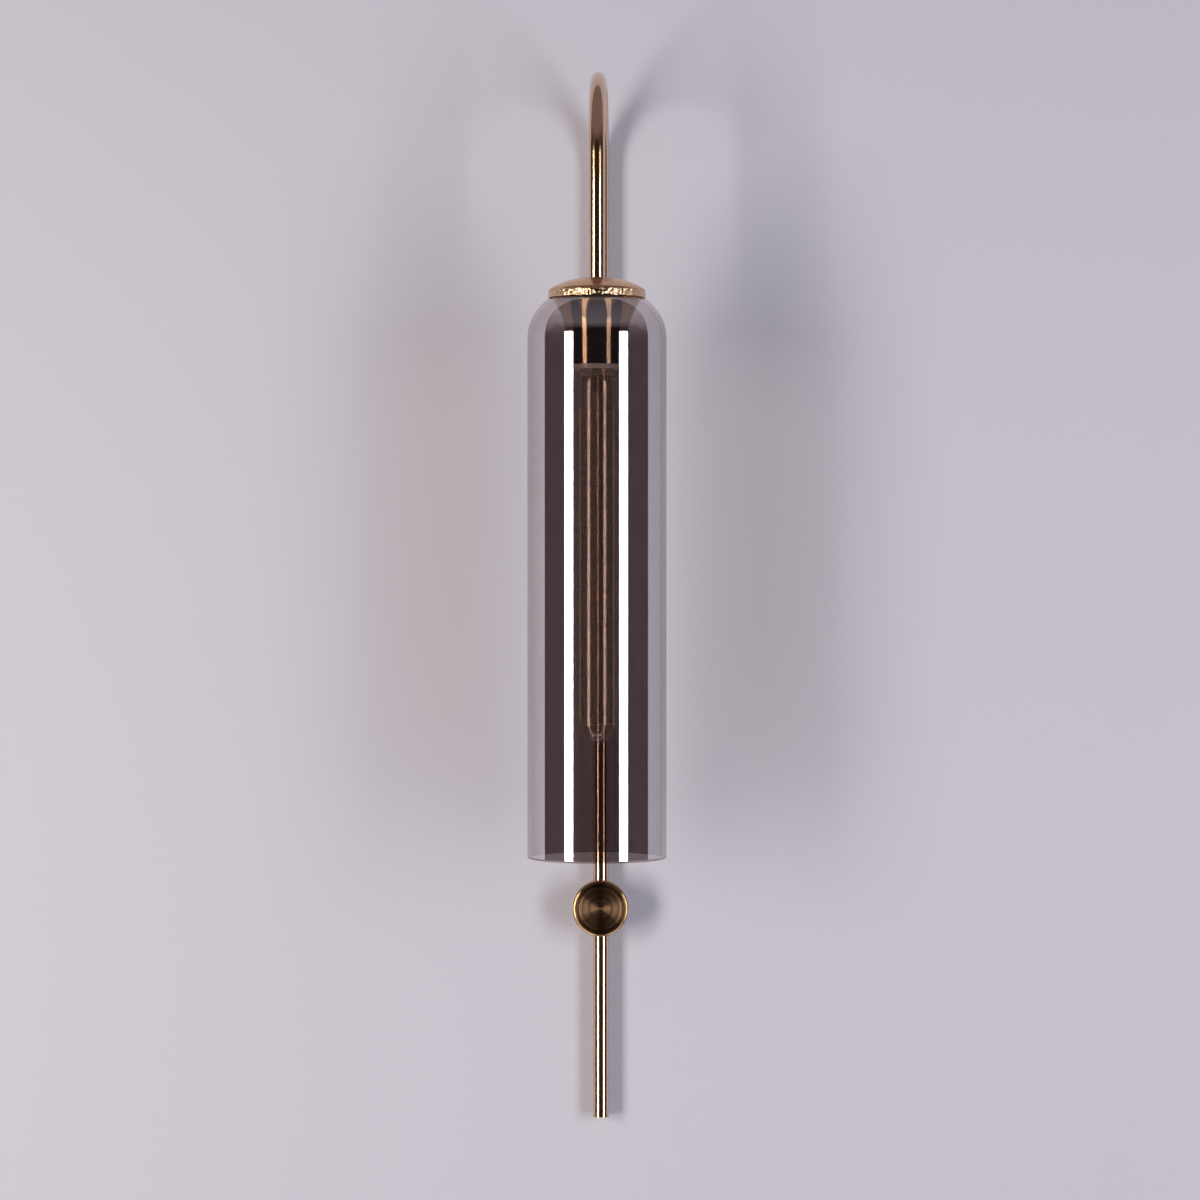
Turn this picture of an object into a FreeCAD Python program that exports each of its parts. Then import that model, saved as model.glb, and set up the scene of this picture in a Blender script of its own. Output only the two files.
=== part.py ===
"""Glass wall light: a gooseneck brass tube on a wall plate, with a long smoked glass shade.

Millimetres, +Z up. The wall is the plane Y = 0 and the light stands in front of it, towards -Y.
The origin is on the wall, on the axis of the round knob that clamps the tube to its plate.
"""
import FreeCAD, Part
import math
import os

Vector = FreeCAD.Vector

# Brass tube: a vertical rod at the wall, an arch over the top and a drop to the shade
tube_diameter = 12.0
tube_bore = 9.0
rod_axis_offset = 10.0
rod_tail = 158.8
arch_centre_height = 554.0
arch_radius = 60.0
drop_length = 90.5

# Plug that closes the foot of the tube
plug_head = 1.5
plug_spigot_length = 8.0
plug_edge_round = 0.4

# Wall plate and the two screw holes in it
plate_diameter = 38.0
plate_thickness = 2.5
plate_edge_round = 0.6
screw_spacing = 26.0
screw_hole_diameter = 4.5
screw_head_diameter = 8.4
screw_head_depth = 1.6

# Stud riveted into the plate, which carries the tube and the knob
stud_diameter = 6.0
stud_head_diameter = 10.0
stud_head_height = 1.2
stud_end_chamfer = 0.6
thread_engagement = 7.5

# Collar that the tube passes through, between the plate and the knob
collar_diameter = 34.0
collar_front_web = 1.2
collar_edge_round = 0.8

# Washer and turned knob on the stud
washer_diameter = 20.0
washer_thickness = 0.6
knob_diameter = 42.0
knob_face_round = 2.0
knob_back_round = 0.6
knob_bore_spare = 0.7
knob_face_thickness = 1.8

# Cable entry: a rubber bush in the plate, and the lead that runs through the tube
lead_diameter = 4.0
lead_bend_radius = 6.0
entry_height = 11.2
entry_hole_diameter = 6.4
bush_diameter = 8.0

# Rest between the wall and the rod, hidden behind the shade
rest_height = 400.0
rest_diameter = 10.0
rest_pad_thickness = 1.0

# Glass shade
shade_diameter = 100.0
shade_length = 407.0
shade_wall = 3.0
shoulder_radius = 34.0
shade_hole_diameter = 12.0

# Domed cap on the shade
cap_diameter = 70.0
cap_wall = 1.2
cap_rim_height = 4.2
cap_edge_round = 3.0
seat_ledge = 0.3

# Threaded nipple and what is clamped on it, from the cap down
nipple_diameter = 10.0
nipple_bore = 7.0
nipple_grip_in_tube = 10.0
nipple_grip_in_holder = 7.6
nut_across_flats = 14.0
cap_nut_height = 3.5
clamp_washer_inset = 0.5
clamp_washer_thickness = 1.6
gasket_inset = 1.0
upper_gasket_thickness = 3.2
lower_gasket_thickness = 1.2
cup_nut_height = 4.0

# Flared brass cup round the lampholder, and the grub screw in its side
cup_diameter = 44.0
cup_wall = 1.2
flare_spread = 9.0
flare_height = 28.8
flare_edge_thickness = 2.4
flare_to_glass_gap = 0.6
cup_screw_diameter = 3.0
cup_screw_height = 17.0
cup_screw_turn_degrees = 9.4
cup_screw_socket_diameter = 1.5
cup_screw_socket_depth = 0.8

# Porcelain lampholder for a 27 mm screw cap
holder_below_cup = 3.4
holder_lip = 4.9
holder_floor = 6.5
holder_hub_diameter = 18.0
holder_shell_wall = 0.5
holder_shell_inset = 6.4
holder_contact_diameter = 8.0
holder_contact_thickness = 0.8
holder_rivet_diameter = 3.0
terminal_head_diameter = 7.0
terminal_head_height = 2.5
terminal_shank_diameter = 3.4
terminal_shank_length = 5.0
terminal_slot_width = 1.0
terminal_slot_depth = 1.2

# Tubular bulb, 30 mm across and 300 mm long from its tip to its contact
bulb_diameter = 30.0
bulb_length = 300.0
bulb_wall = 0.9
neck_length = 14.5
neck_tuck = 3.5
neck_gap = 0.2

# Its 27 mm screw cap, with the thread drawn as rings
base_diameter = 26.4
base_wall = 0.5
base_skirt = 2.0
thread_pitch = 3.6
thread_turns = 5
thread_depth = 1.0
base_shoulder_height = 2.0
base_shoulder_diameter = 22.0
insulator_height = 3.5
insulator_top_diameter = 11.0
base_contact_diameter = 9.2
base_contact_height = 1.5
base_contact_round = 1.0

# Glass stem, pinch and centre rod inside the bulb
stem_diameter = 6.4
stem_wall = 0.7
stem_flare_height = 8.0
pinch_width = 8.8
pinch_thickness = 4.2
pinch_height = 11.0
pinch_edge_round = 1.2
pinch_drop = 10.0
centre_rod_diameter = 2.4
centre_rod_foot_gap = 1.2

# Filament: a long hairpin held by two pairs of wire arms, with small clips along its legs
filament_diameter = 0.6
filament_span = 24.0
filament_lead_drop = 11.0
filament_foot_rise = 13.5
clip_diameter = 1.2
clip_length = 1.0
clip_pitch = 24.7
lead_wire_diameter = 0.8
lead_wire_spacing = 6.0
lead_wire_straight = 4.0
lead_wire_tail = 1.5
support_wire_diameter = 0.4
support_height_shares = (0.28, 0.73)

# Clearances
turning_fit = 0.08
seated_gap = 0.05
hole_clearance = 0.10
cap_to_glass_gap = 0.7
holder_to_cup_gap = 0.4
bulb_contact_gap = 0.2
cable_gap = 0.2
cut_overrun = 5.0

# Tube, collar and knob, worked out from the sizes above
tube_radius = tube_diameter / 2
stud_radius = stud_diameter / 2
lead_radius = lead_diameter / 2
rod_axis_y = -rod_axis_offset
shade_axis_y = rod_axis_y - 2 * arch_radius
tube_foot_z = plug_head - rod_tail
collar_front = rod_axis_offset + tube_radius + collar_front_web
knob_back = collar_front + washer_thickness
stud_length = knob_back + thread_engagement
knob_front = stud_length + knob_bore_spare + knob_face_thickness

# Heights down the shade's axis, from the end of the tube to the bulb's tip
cap_top_z = arch_centre_height - drop_length
cap_inside_z = cap_top_z - cap_wall
clamp_washer_top_z = cap_inside_z - cap_nut_height
upper_gasket_top_z = clamp_washer_top_z - clamp_washer_thickness
glass_top_z = upper_gasket_top_z - upper_gasket_thickness
glass_inside_z = glass_top_z - shade_wall
glass_foot_z = glass_top_z - shade_length
shoulder_z = glass_top_z - shoulder_radius
cup_top_z = glass_inside_z - lower_gasket_thickness
cup_inside_z = cup_top_z - cup_wall
holder_top_z = cup_inside_z - cup_nut_height
nipple_foot_z = holder_top_z - nipple_grip_in_holder
holder_floor_z = nipple_foot_z - holder_floor
base_top_z = holder_floor_z - holder_contact_thickness - bulb_contact_gap
insulator_top_z = base_top_z - base_contact_height
base_shoulder_z = insulator_top_z - insulator_height
thread_top_z = base_shoulder_z - base_shoulder_height
thread_foot_z = thread_top_z - thread_turns * thread_pitch
base_foot_z = thread_foot_z - base_skirt
holder_foot_z = base_foot_z - holder_lip
cup_foot_z = holder_foot_z + holder_below_cup
bulb_foot_z = base_top_z - bulb_length
stem_top_z = base_foot_z + neck_tuck
pinch_top_z = base_foot_z - pinch_drop
pinch_foot_z = pinch_top_z - pinch_height
filament_top_z = pinch_foot_z - filament_lead_drop
filament_foot_z = bulb_foot_z + filament_foot_rise

# Radii about the shade's axis
shade_radius = shade_diameter / 2
shade_flat_radius = shade_radius - shoulder_radius
gasket_radius = shade_flat_radius - gasket_inset
cap_radius = cap_diameter / 2
nipple_radius = nipple_diameter / 2
nipple_hole_radius = nipple_radius + hole_clearance
nut_corner_radius = nut_across_flats / math.sqrt(3)
cup_radius = cup_diameter / 2
cup_bore_radius = cup_radius - cup_wall
flare_radius = cup_radius + flare_spread
holder_radius = cup_bore_radius - holder_to_cup_gap
holder_hub_radius = holder_hub_diameter / 2
base_radius = base_diameter / 2
base_root_radius = base_radius - thread_depth
base_bore_radius = base_root_radius - base_wall
base_shoulder_radius = base_shoulder_diameter / 2
neck_radius = base_bore_radius - neck_gap
shell_bore_radius = base_radius + turning_fit
shell_radius = shell_bore_radius + holder_shell_wall
bulb_radius = bulb_diameter / 2
filament_radius = filament_diameter / 2
support_radius = support_wire_diameter / 2
leg_x = filament_span / 2


class Outline:
    """A closed outline of radius and height, drawn edge by edge and turned about the Z axis."""

    def __init__(self, radius, height):
        self.start = Vector(radius, 0, height)
        self.here = self.start
        self.edges = []

    def line(self, radius, height):
        end = Vector(radius, 0, height)
        self.edges.append(Part.LineSegment(self.here, end).toShape())
        self.here = end
        return self

    def arc(self, through, end):
        middle = Vector(through[0], 0, through[1])
        last = Vector(end[0], 0, end[1])
        self.edges.append(Part.Arc(self.here, middle, last).toShape())
        self.here = last
        return self

    def corner(self, corner, end):
        """A quarter turn from here to the end, rounding the corner given."""
        centre = (self.here.x + end[0] - corner[0], self.here.z + end[1] - corner[1])
        reach = math.sqrt(0.5)
        through = [middle + (tip - middle) * reach for middle, tip in zip(centre, corner)]
        return self.arc(through, end)

    def leave(self, radius, height):
        """An arc to the point given that leaves here along the axis."""
        across = radius - self.here.x
        along = height - self.here.z
        swing = (across ** 2 + along ** 2) / (2 * across)
        half_sweep = math.atan2(abs(across), abs(along))
        rise = math.copysign(swing, along) * math.sin(half_sweep)
        through = (self.here.x + swing * (1 - math.cos(half_sweep)), self.here.z + rise)
        return self.arc(through, (radius, height))

    def arrive(self, radius, height):
        """An arc to the point given that arrives there along the axis."""
        across = self.here.x - radius
        along = self.here.z - height
        swing = (across ** 2 + along ** 2) / (2 * across)
        half_sweep = math.atan2(abs(across), abs(along))
        rise = math.copysign(swing, along) * math.sin(half_sweep)
        through = (radius + swing * (1 - math.cos(half_sweep)), height + rise)
        return self.arc(through, (radius, height))

    def ogee(self, radius, height):
        """Two equal arcs, along the axis at both ends."""
        self.leave((self.here.x + radius) / 2, (self.here.z + height) / 2)
        return self.arrive(radius, height)

    def crown(self, radius, height, edge_round):
        """A shallow arc, level here, that turns over a rounded edge to run down at the point given."""
        across = radius - edge_round - self.here.x
        drop = self.here.z - height
        sweep = (across ** 2 + drop ** 2 - edge_round ** 2) / (2 * (drop - edge_round))
        edge_angle = math.asin(across / (sweep - edge_round))
        centre = (self.here.x, self.here.z - sweep)

        def on_arc(middle, size, angle):
            return (middle[0] + size * math.sin(angle), middle[1] + size * math.cos(angle))

        edge_centre = (radius - edge_round, height)
        self.arc(on_arc(centre, sweep, edge_angle / 2), on_arc(centre, sweep, edge_angle))
        half_turn = (edge_angle + math.pi / 2) / 2
        return self.arc(on_arc(edge_centre, edge_round, half_turn), (radius, height))

    def turned(self):
        self.line(self.start.x, self.start.z)
        face = Part.Face(Part.Wire(self.edges))
        return face.revolve(Vector(0, 0, 0), Vector(0, 0, 1), 360)


def cylinder(radius, low, high, x=0.0, y=0.0):
    return Part.makeCylinder(radius, high - low, Vector(x, y, low))


def ring(outer, inner, low, high):
    return cylinder(outer, low, high).cut(cylinder(inner, low - cut_overrun, high + cut_overrun))


def rod_between(start, end, radius):
    return Part.makeCylinder(radius, (end - start).Length, start, end - start)


def wire_through(points, radius):
    """A round wire along straight runs, with a ball at each bend."""
    runs = [rod_between(start, end, radius) for start, end in zip(points, points[1:])]
    balls = [Part.makeSphere(radius, point) for point in points[1:-1]]
    return runs[0].multiFuse(runs[1:] + balls)


def hexagon_nut(low, high):
    corners = [Vector(nut_corner_radius, 0, low)]
    for side in range(1, 7):
        angle = math.radians(60 * side)
        corners.append(Vector(nut_corner_radius * math.cos(angle),
                              nut_corner_radius * math.sin(angle), low))
    prism = Part.Face(Part.makePolygon(corners)).extrude(Vector(0, 0, high - low))
    return prism.cut(cylinder(nipple_radius + seated_gap, low - cut_overrun, high + cut_overrun))


def from_wall(shape, up=0.0):
    """Stand a turned shape on the wall: its height becomes its distance from the wall."""
    shape.rotate(Vector(0, 0, 0), Vector(1, 0, 0), 90)
    shape.translate(Vector(0, 0, up))
    return shape


def on_shade_axis(shape):
    shape.translate(Vector(0, shade_axis_y, 0))
    return shape


def glass_height(radius, shoulder):
    """Height of a shoulder of the shade at a radius, for its outer or inner surface."""
    reach = max(0.0, radius - shade_flat_radius)
    return shoulder_z + math.sqrt(shoulder ** 2 - reach ** 2)


def gooseneck_edges(low, end):
    """Centre line of the tube, from a height on the rod, over the arch, to a height on the drop."""
    rod_top = Vector(0, rod_axis_y, arch_centre_height)
    crown = Vector(0, rod_axis_y - arch_radius, arch_centre_height + arch_radius)
    drop_top = Vector(0, shade_axis_y, arch_centre_height)
    rod = Part.LineSegment(Vector(0, rod_axis_y, low), rod_top)
    drop = Part.LineSegment(drop_top, Vector(0, shade_axis_y, end))
    return [rod.toShape(), Part.Arc(rod_top, crown, drop_top).toShape(), drop.toShape()]


def swept(edges, start, direction, radius):
    section = Part.Wire(Part.Circle(start, direction, radius).toShape())
    return Part.Wire(edges).makePipeShell([section], True, False)


# Tube and lead

def lamp_arm():
    start = Vector(0, rod_axis_y, tube_foot_z)
    upward = Vector(0, 0, 1)
    edges = gooseneck_edges(tube_foot_z, cap_top_z)
    tube = swept(edges, start, upward, tube_radius).cut(swept(edges, start, upward, tube_bore / 2))
    tapped_end = cylinder(nipple_radius + seated_gap, cap_top_z - cut_overrun,
                          cap_top_z + nipple_grip_in_tube + cut_overrun, 0, shade_axis_y)
    stud_hole = from_wall(cylinder(stud_radius + seated_gap, 0, collar_front))
    entry_hole = from_wall(cylinder(entry_hole_diameter / 2, 0, rod_axis_offset), entry_height)
    return tube.cut(tapped_end).cut(stud_hole).cut(entry_hole)


def arm_end_plug():
    foot = -rod_tail
    spigot_radius = tube_bore / 2 - seated_gap
    plug = Outline(0, foot).line(tube_radius - plug_edge_round, foot)
    plug.corner((tube_radius, foot), (tube_radius, foot + plug_edge_round))
    plug.line(tube_radius, tube_foot_z).line(spigot_radius, tube_foot_z)
    plug.line(spigot_radius, tube_foot_z + plug_spigot_length)
    plug.line(0, tube_foot_z + plug_spigot_length)
    shape = plug.turned()
    shape.translate(Vector(0, rod_axis_y, 0))
    return shape


def supply_lead():
    """Cable from the wall plate's bush, through the tube, to the lampholder's terminals."""
    start = Vector(0, 0, entry_height)
    bend_start = Vector(0, rod_axis_y + lead_bend_radius, entry_height)
    bend_end = Vector(0, rod_axis_y, entry_height + lead_bend_radius)
    lag = lead_bend_radius * (1 - math.sqrt(0.5))
    bend_middle = Vector(0, rod_axis_y + lag, entry_height + lag)
    entry = Part.LineSegment(start, bend_start).toShape()
    bend = Part.Arc(bend_start, bend_middle, bend_end).toShape()
    edges = [entry, bend] + gooseneck_edges(bend_end.z, nipple_foot_z)
    return swept(edges, start, Vector(0, -1, 0), lead_radius)


# Wall fixing and knob

def wall_plate():
    radius = plate_diameter / 2
    front = plate_thickness
    outline = Outline(0, 0).line(radius, 0).line(radius, front - plate_edge_round)
    outline.corner((radius, front), (radius - plate_edge_round, front)).line(0, front)
    plate = outline.turned()
    plate = plate.cut(cylinder(stud_radius + seated_gap, -cut_overrun, front + cut_overrun))
    plate = plate.cut(cylinder(stud_head_diameter / 2 + seated_gap, -cut_overrun, stud_head_height))
    plate = plate.cut(cylinder(bush_diameter / 2, -cut_overrun, front + cut_overrun, 0, entry_height))
    hole_radius = screw_hole_diameter / 2
    for side in (-1, 1):
        place = Vector(side * screw_spacing / 2, 0, front - screw_head_depth)
        sink = Part.makeCone(hole_radius, screw_head_diameter / 2, screw_head_depth, place)
        plate = plate.cut(cylinder(hole_radius, -cut_overrun, front + cut_overrun, place.x))
        plate = plate.cut(sink)
    return from_wall(plate)


def cable_bush():
    bush = ring(bush_diameter / 2, lead_radius + cable_gap, 0, plate_thickness)
    return from_wall(bush, entry_height)


def mounting_stud():
    tip_radius = stud_radius - stud_end_chamfer
    stud = Outline(0, 0).line(stud_head_diameter / 2, 0)
    stud.line(stud_head_diameter / 2, stud_head_height).line(stud_radius, stud_head_height)
    stud.line(stud_radius, stud_length - stud_end_chamfer).line(tip_radius, stud_length)
    return from_wall(stud.line(0, stud_length).turned())


def rod_collar():
    radius = collar_diameter / 2
    outline = Outline(0, plate_thickness).line(radius, plate_thickness)
    outline.line(radius, collar_front - collar_edge_round)
    outline.corner((radius, collar_front), (radius - collar_edge_round, collar_front))
    collar = from_wall(outline.line(0, collar_front).turned())
    tube_hole = cylinder(tube_radius + seated_gap, -collar_diameter, collar_diameter, 0, rod_axis_y)
    stud_hole = from_wall(cylinder(stud_radius + seated_gap, 0, knob_front))
    entry_hole = from_wall(cylinder(entry_hole_diameter / 2, 0, rod_axis_offset), entry_height)
    return collar.cut(tube_hole).cut(stud_hole).cut(entry_hole)


def knob_washer():
    return from_wall(ring(washer_diameter / 2, stud_radius + turning_fit, collar_front, knob_back))


def clamp_knob():
    radius = knob_diameter / 2
    bore_radius = stud_radius + turning_fit
    bore_end = stud_length + knob_bore_spare
    knob = Outline(bore_radius, knob_back).line(radius - knob_back_round, knob_back)
    knob.corner((radius, knob_back), (radius, knob_back + knob_back_round))
    knob.line(radius, knob_front - knob_face_round)
    knob.corner((radius, knob_front), (radius - knob_face_round, knob_front))
    knob.line(0, knob_front).line(0, bore_end).line(bore_radius, bore_end)
    return from_wall(knob.turned())


def upper_rest():
    peg = cylinder(rest_diameter / 2, rest_pad_thickness, rod_axis_offset - tube_radius / 2)
    rod = cylinder(tube_radius, rest_height - rest_diameter, rest_height + rest_diameter, 0, rod_axis_y)
    return from_wall(peg, rest_height).cut(rod)


def rest_pad():
    return from_wall(cylinder(rest_diameter / 2, 0, rest_pad_thickness), rest_height)


# Shade, cap and what clamps them

def glass_shade():
    inner_radius = shade_radius - shade_wall
    inner_shoulder = shoulder_radius - shade_wall
    hole_radius = shade_hole_diameter / 2
    lip = shade_wall / 2
    glass = Outline(inner_radius, glass_foot_z + lip)
    glass.arc((shade_radius - lip, glass_foot_z), (shade_radius, glass_foot_z + lip))
    glass.line(shade_radius, shoulder_z)
    glass.corner((shade_radius, glass_top_z), (shade_flat_radius, glass_top_z))
    glass.line(hole_radius, glass_top_z).line(hole_radius, glass_inside_z)
    glass.line(shade_flat_radius, glass_inside_z)
    glass.arc((shade_flat_radius + inner_shoulder * math.sqrt(0.5),
               shoulder_z + inner_shoulder * math.sqrt(0.5)), (inner_radius, shoulder_z))
    return on_shade_axis(glass.turned())


def shade_cap():
    """Thin domed cap, bevelled at its foot to follow the glass."""
    inner_radius = cap_radius - cap_wall
    foot_z = glass_height(cap_radius, shoulder_radius) + cap_to_glass_gap
    inner_foot_z = glass_height(inner_radius, shoulder_radius) + cap_to_glass_gap
    rim_z = foot_z + cap_rim_height
    shell = Outline(0, cap_top_z).line(tube_radius + seat_ledge, cap_top_z)
    shell.crown(cap_radius, rim_z, cap_edge_round).line(cap_radius, foot_z)
    shell.line(inner_radius, inner_foot_z).line(0, inner_foot_z)
    hollow = Outline(0, cap_inside_z).line(nut_corner_radius + seat_ledge, cap_inside_z)
    hollow.crown(inner_radius, rim_z, cap_edge_round - cap_wall)
    hollow.line(inner_radius, foot_z - cut_overrun).line(0, foot_z - cut_overrun)
    hole = cylinder(nipple_hole_radius, foot_z, cap_top_z + cut_overrun)
    return on_shade_axis(shell.turned().cut(hollow.turned()).cut(hole))


def threaded_nipple():
    foot = nipple_foot_z
    return on_shade_axis(ring(nipple_radius, nipple_bore / 2, foot, cap_top_z + nipple_grip_in_tube))


def cap_nut():
    return on_shade_axis(hexagon_nut(clamp_washer_top_z, cap_inside_z))


def clamp_washer():
    washer_radius = gasket_radius - clamp_washer_inset
    return on_shade_axis(ring(washer_radius, nipple_hole_radius, upper_gasket_top_z, clamp_washer_top_z))


def upper_gasket():
    return on_shade_axis(ring(gasket_radius, nipple_hole_radius, glass_top_z, upper_gasket_top_z))


def lower_gasket():
    return on_shade_axis(ring(gasket_radius, nipple_hole_radius, cup_top_z, glass_inside_z))


def cup_nut():
    return on_shade_axis(hexagon_nut(holder_top_z, cup_inside_z))


# Cup and lampholder

def at_cup_screw(shape):
    """Stand a turned shape in the cup's side: its height becomes its distance from the axis."""
    shape = from_wall(shape, cup_foot_z + cup_screw_height)
    shape.rotate(Vector(0, 0, 0), Vector(0, 0, 1), cup_screw_turn_degrees)
    return shape


def socket_cup():
    """Thin cup, flared out to just under the glass's shoulder."""
    edge_z = glass_height(flare_radius, shoulder_radius - shade_wall) - flare_to_glass_gap
    top_slope = (cup_top_z - edge_z) / (flare_radius - shade_flat_radius)
    inner_edge_radius = flare_radius - flare_edge_thickness
    inner_edge_z = cup_inside_z - top_slope * (inner_edge_radius - shade_flat_radius)
    flare_foot_z = edge_z - flare_height
    cup = Outline(cup_bore_radius, cup_foot_z).line(cup_radius, cup_foot_z)
    cup.line(cup_radius, flare_foot_z).leave(flare_radius, edge_z)
    cup.line(shade_flat_radius, cup_top_z).line(nipple_hole_radius, cup_top_z)
    cup.line(nipple_hole_radius, cup_inside_z).line(shade_flat_radius, cup_inside_z)
    cup.line(inner_edge_radius, inner_edge_z).arrive(cup_bore_radius, flare_foot_z)
    screw_hole = cylinder(cup_screw_diameter / 2 + seated_gap, holder_radius, cup_radius + cut_overrun)
    return on_shade_axis(cup.turned().cut(at_cup_screw(screw_hole)))


def cup_screw():
    screw = cylinder(cup_screw_diameter / 2, holder_radius + seated_gap, cup_radius)
    socket = cylinder(cup_screw_socket_diameter / 2, cup_radius - cup_screw_socket_depth,
                      cup_radius + cut_overrun)
    return on_shade_axis(at_cup_screw(screw.cut(socket)))


def terminal_places():
    reach = (holder_hub_radius + holder_radius) / 2
    return [Vector(side * reach, 0, nipple_foot_z) for side in (-1, 1)]


def lampholder_body():
    bore_radius = shell_radius + seated_gap
    rivet_hole = holder_rivet_diameter / 2 + seated_gap
    thread_radius = nipple_radius + seated_gap
    body = Outline(bore_radius, holder_foot_z).line(holder_radius, holder_foot_z)
    body.line(holder_radius, nipple_foot_z).line(holder_hub_radius, nipple_foot_z)
    body.line(holder_hub_radius, holder_top_z).line(thread_radius, holder_top_z)
    body.line(thread_radius, nipple_foot_z).line(rivet_hole, nipple_foot_z)
    body.line(rivet_hole, holder_floor_z).line(bore_radius, holder_floor_z)
    shape = body.turned()
    hole_radius = terminal_shank_diameter / 2 + seated_gap
    for place in terminal_places():
        low = place.z - terminal_shank_length
        shape = shape.cut(cylinder(hole_radius, low, place.z + cut_overrun, place.x))
    return on_shade_axis(shape)


def lampholder_shell():
    """Brass sleeve that takes the bulb's screw cap, held under the holder's floor."""
    foot = holder_foot_z + holder_shell_inset
    return on_shade_axis(ring(shell_radius, shell_bore_radius, foot, holder_floor_z))


def lampholder_contact():
    disc = cylinder(holder_contact_diameter / 2, holder_floor_z - holder_contact_thickness, holder_floor_z)
    return on_shade_axis(disc.fuse(cylinder(holder_rivet_diameter / 2, holder_floor_z, nipple_foot_z)))


def terminal_screws():
    screws = []
    for place in terminal_places():
        head_top = place.z + terminal_head_height
        head = cylinder(terminal_head_diameter / 2, place.z, head_top, place.x)
        shank_foot = place.z - terminal_shank_length
        shank = cylinder(terminal_shank_diameter / 2, shank_foot, place.z, place.x)
        corner = Vector(place.x - terminal_slot_width / 2, -terminal_head_diameter,
                        head_top - terminal_slot_depth)
        slot = Part.makeBox(terminal_slot_width, 2 * terminal_head_diameter, terminal_head_height, corner)
        screws.append(head.fuse(shank).cut(slot))
    return on_shade_axis(Part.makeCompound(screws))


# Bulb

def bulb_glass():
    inner_radius = bulb_radius - bulb_wall
    inner_neck = neck_radius - bulb_wall
    bend_z = bulb_foot_z + bulb_radius
    neck_foot_z = base_foot_z - neck_length
    glass = Outline(0, bulb_foot_z)
    glass.corner((bulb_radius, bulb_foot_z), (bulb_radius, bend_z))
    glass.line(bulb_radius, neck_foot_z).ogee(neck_radius, base_foot_z)
    glass.line(neck_radius, stem_top_z).line(inner_neck, stem_top_z).line(inner_neck, base_foot_z)
    glass.ogee(inner_radius, neck_foot_z).line(inner_radius, bend_z)
    glass.corner((inner_radius, bulb_foot_z + bulb_wall), (0, bulb_foot_z + bulb_wall))
    return on_shade_axis(glass.turned())


def bulb_base():
    base = Outline(base_bore_radius, base_foot_z).line(base_root_radius, base_foot_z)
    base.line(base_root_radius, thread_foot_z)
    for turn in range(thread_turns):
        foot = thread_foot_z + turn * thread_pitch
        base.arc((base_radius, foot + thread_pitch / 2), (base_root_radius, foot + thread_pitch))
    base.line(base_shoulder_radius, base_shoulder_z)
    base.line(base_shoulder_radius - base_wall, base_shoulder_z)
    return on_shade_axis(base.line(base_bore_radius, thread_top_z).turned())


def bulb_insulator():
    cone = Outline(0, base_shoulder_z).line(base_shoulder_radius, base_shoulder_z)
    cone.line(insulator_top_diameter / 2, insulator_top_z).line(0, insulator_top_z)
    return on_shade_axis(cone.turned())


def bulb_contact():
    radius = base_contact_diameter / 2
    contact = Outline(0, insulator_top_z).line(radius, insulator_top_z)
    contact.line(radius, base_top_z - base_contact_round)
    contact.corner((radius, base_top_z), (radius - base_contact_round, base_top_z))
    return on_shade_axis(contact.line(0, base_top_z).turned())


def bulb_stem():
    """Flared glass stem, its flat pinch and the glass rod down the middle of the bulb."""
    rim_radius = neck_radius - bulb_wall - seated_gap
    stem_radius = stem_diameter / 2
    flare_foot = stem_top_z - stem_flare_height
    tube = Outline(rim_radius, stem_top_z - stem_wall)
    tube.arrive(stem_radius, flare_foot).line(stem_radius, pinch_top_z)
    tube.line(stem_radius - stem_wall, pinch_top_z).line(stem_radius - stem_wall, flare_foot)
    tube.leave(rim_radius, stem_top_z)
    corner = Vector(-pinch_width / 2, -pinch_thickness / 2, pinch_foot_z)
    pinch = Part.makeBox(pinch_width, pinch_thickness, pinch_height, corner)
    upright = [edge for edge in pinch.Edges if edge.BoundBox.ZLength > pinch_height / 2]
    pinch = pinch.makeFillet(pinch_edge_round, upright)
    rod_foot = filament_foot_z + filament_radius + centre_rod_foot_gap
    rod = cylinder(centre_rod_diameter / 2, rod_foot, pinch_top_z - pinch_height / 2)
    return on_shade_axis(tube.turned().fuse(pinch).fuse(rod))


def lead_wires():
    wires = []
    for side in (-1, 1):
        inner_x = side * lead_wire_spacing / 2
        points = [Vector(inner_x, 0, pinch_foot_z),
                  Vector(inner_x, 0, pinch_foot_z - lead_wire_straight),
                  Vector(side * leg_x, 0, filament_top_z + lead_wire_tail),
                  Vector(side * leg_x, 0, filament_top_z)]
        wires.append(wire_through(points, lead_wire_diameter / 2))
    return on_shade_axis(Part.makeCompound(wires))


def bulb_filament():
    corners = [Vector(-leg_x, 0, filament_top_z), Vector(-leg_x, 0, filament_foot_z),
               Vector(leg_x, 0, filament_foot_z), Vector(leg_x, 0, filament_top_z)]
    hairpin = wire_through(corners, filament_radius)
    clips = []
    for number in range(1, int((filament_top_z - filament_foot_z) / clip_pitch) + 1):
        middle = filament_top_z - number * clip_pitch
        for side in (-1, 1):
            clips.append(cylinder(clip_diameter / 2, middle - clip_length / 2,
                                  middle + clip_length / 2, side * leg_x))
    return on_shade_axis(hairpin.multiFuse(clips))


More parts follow.
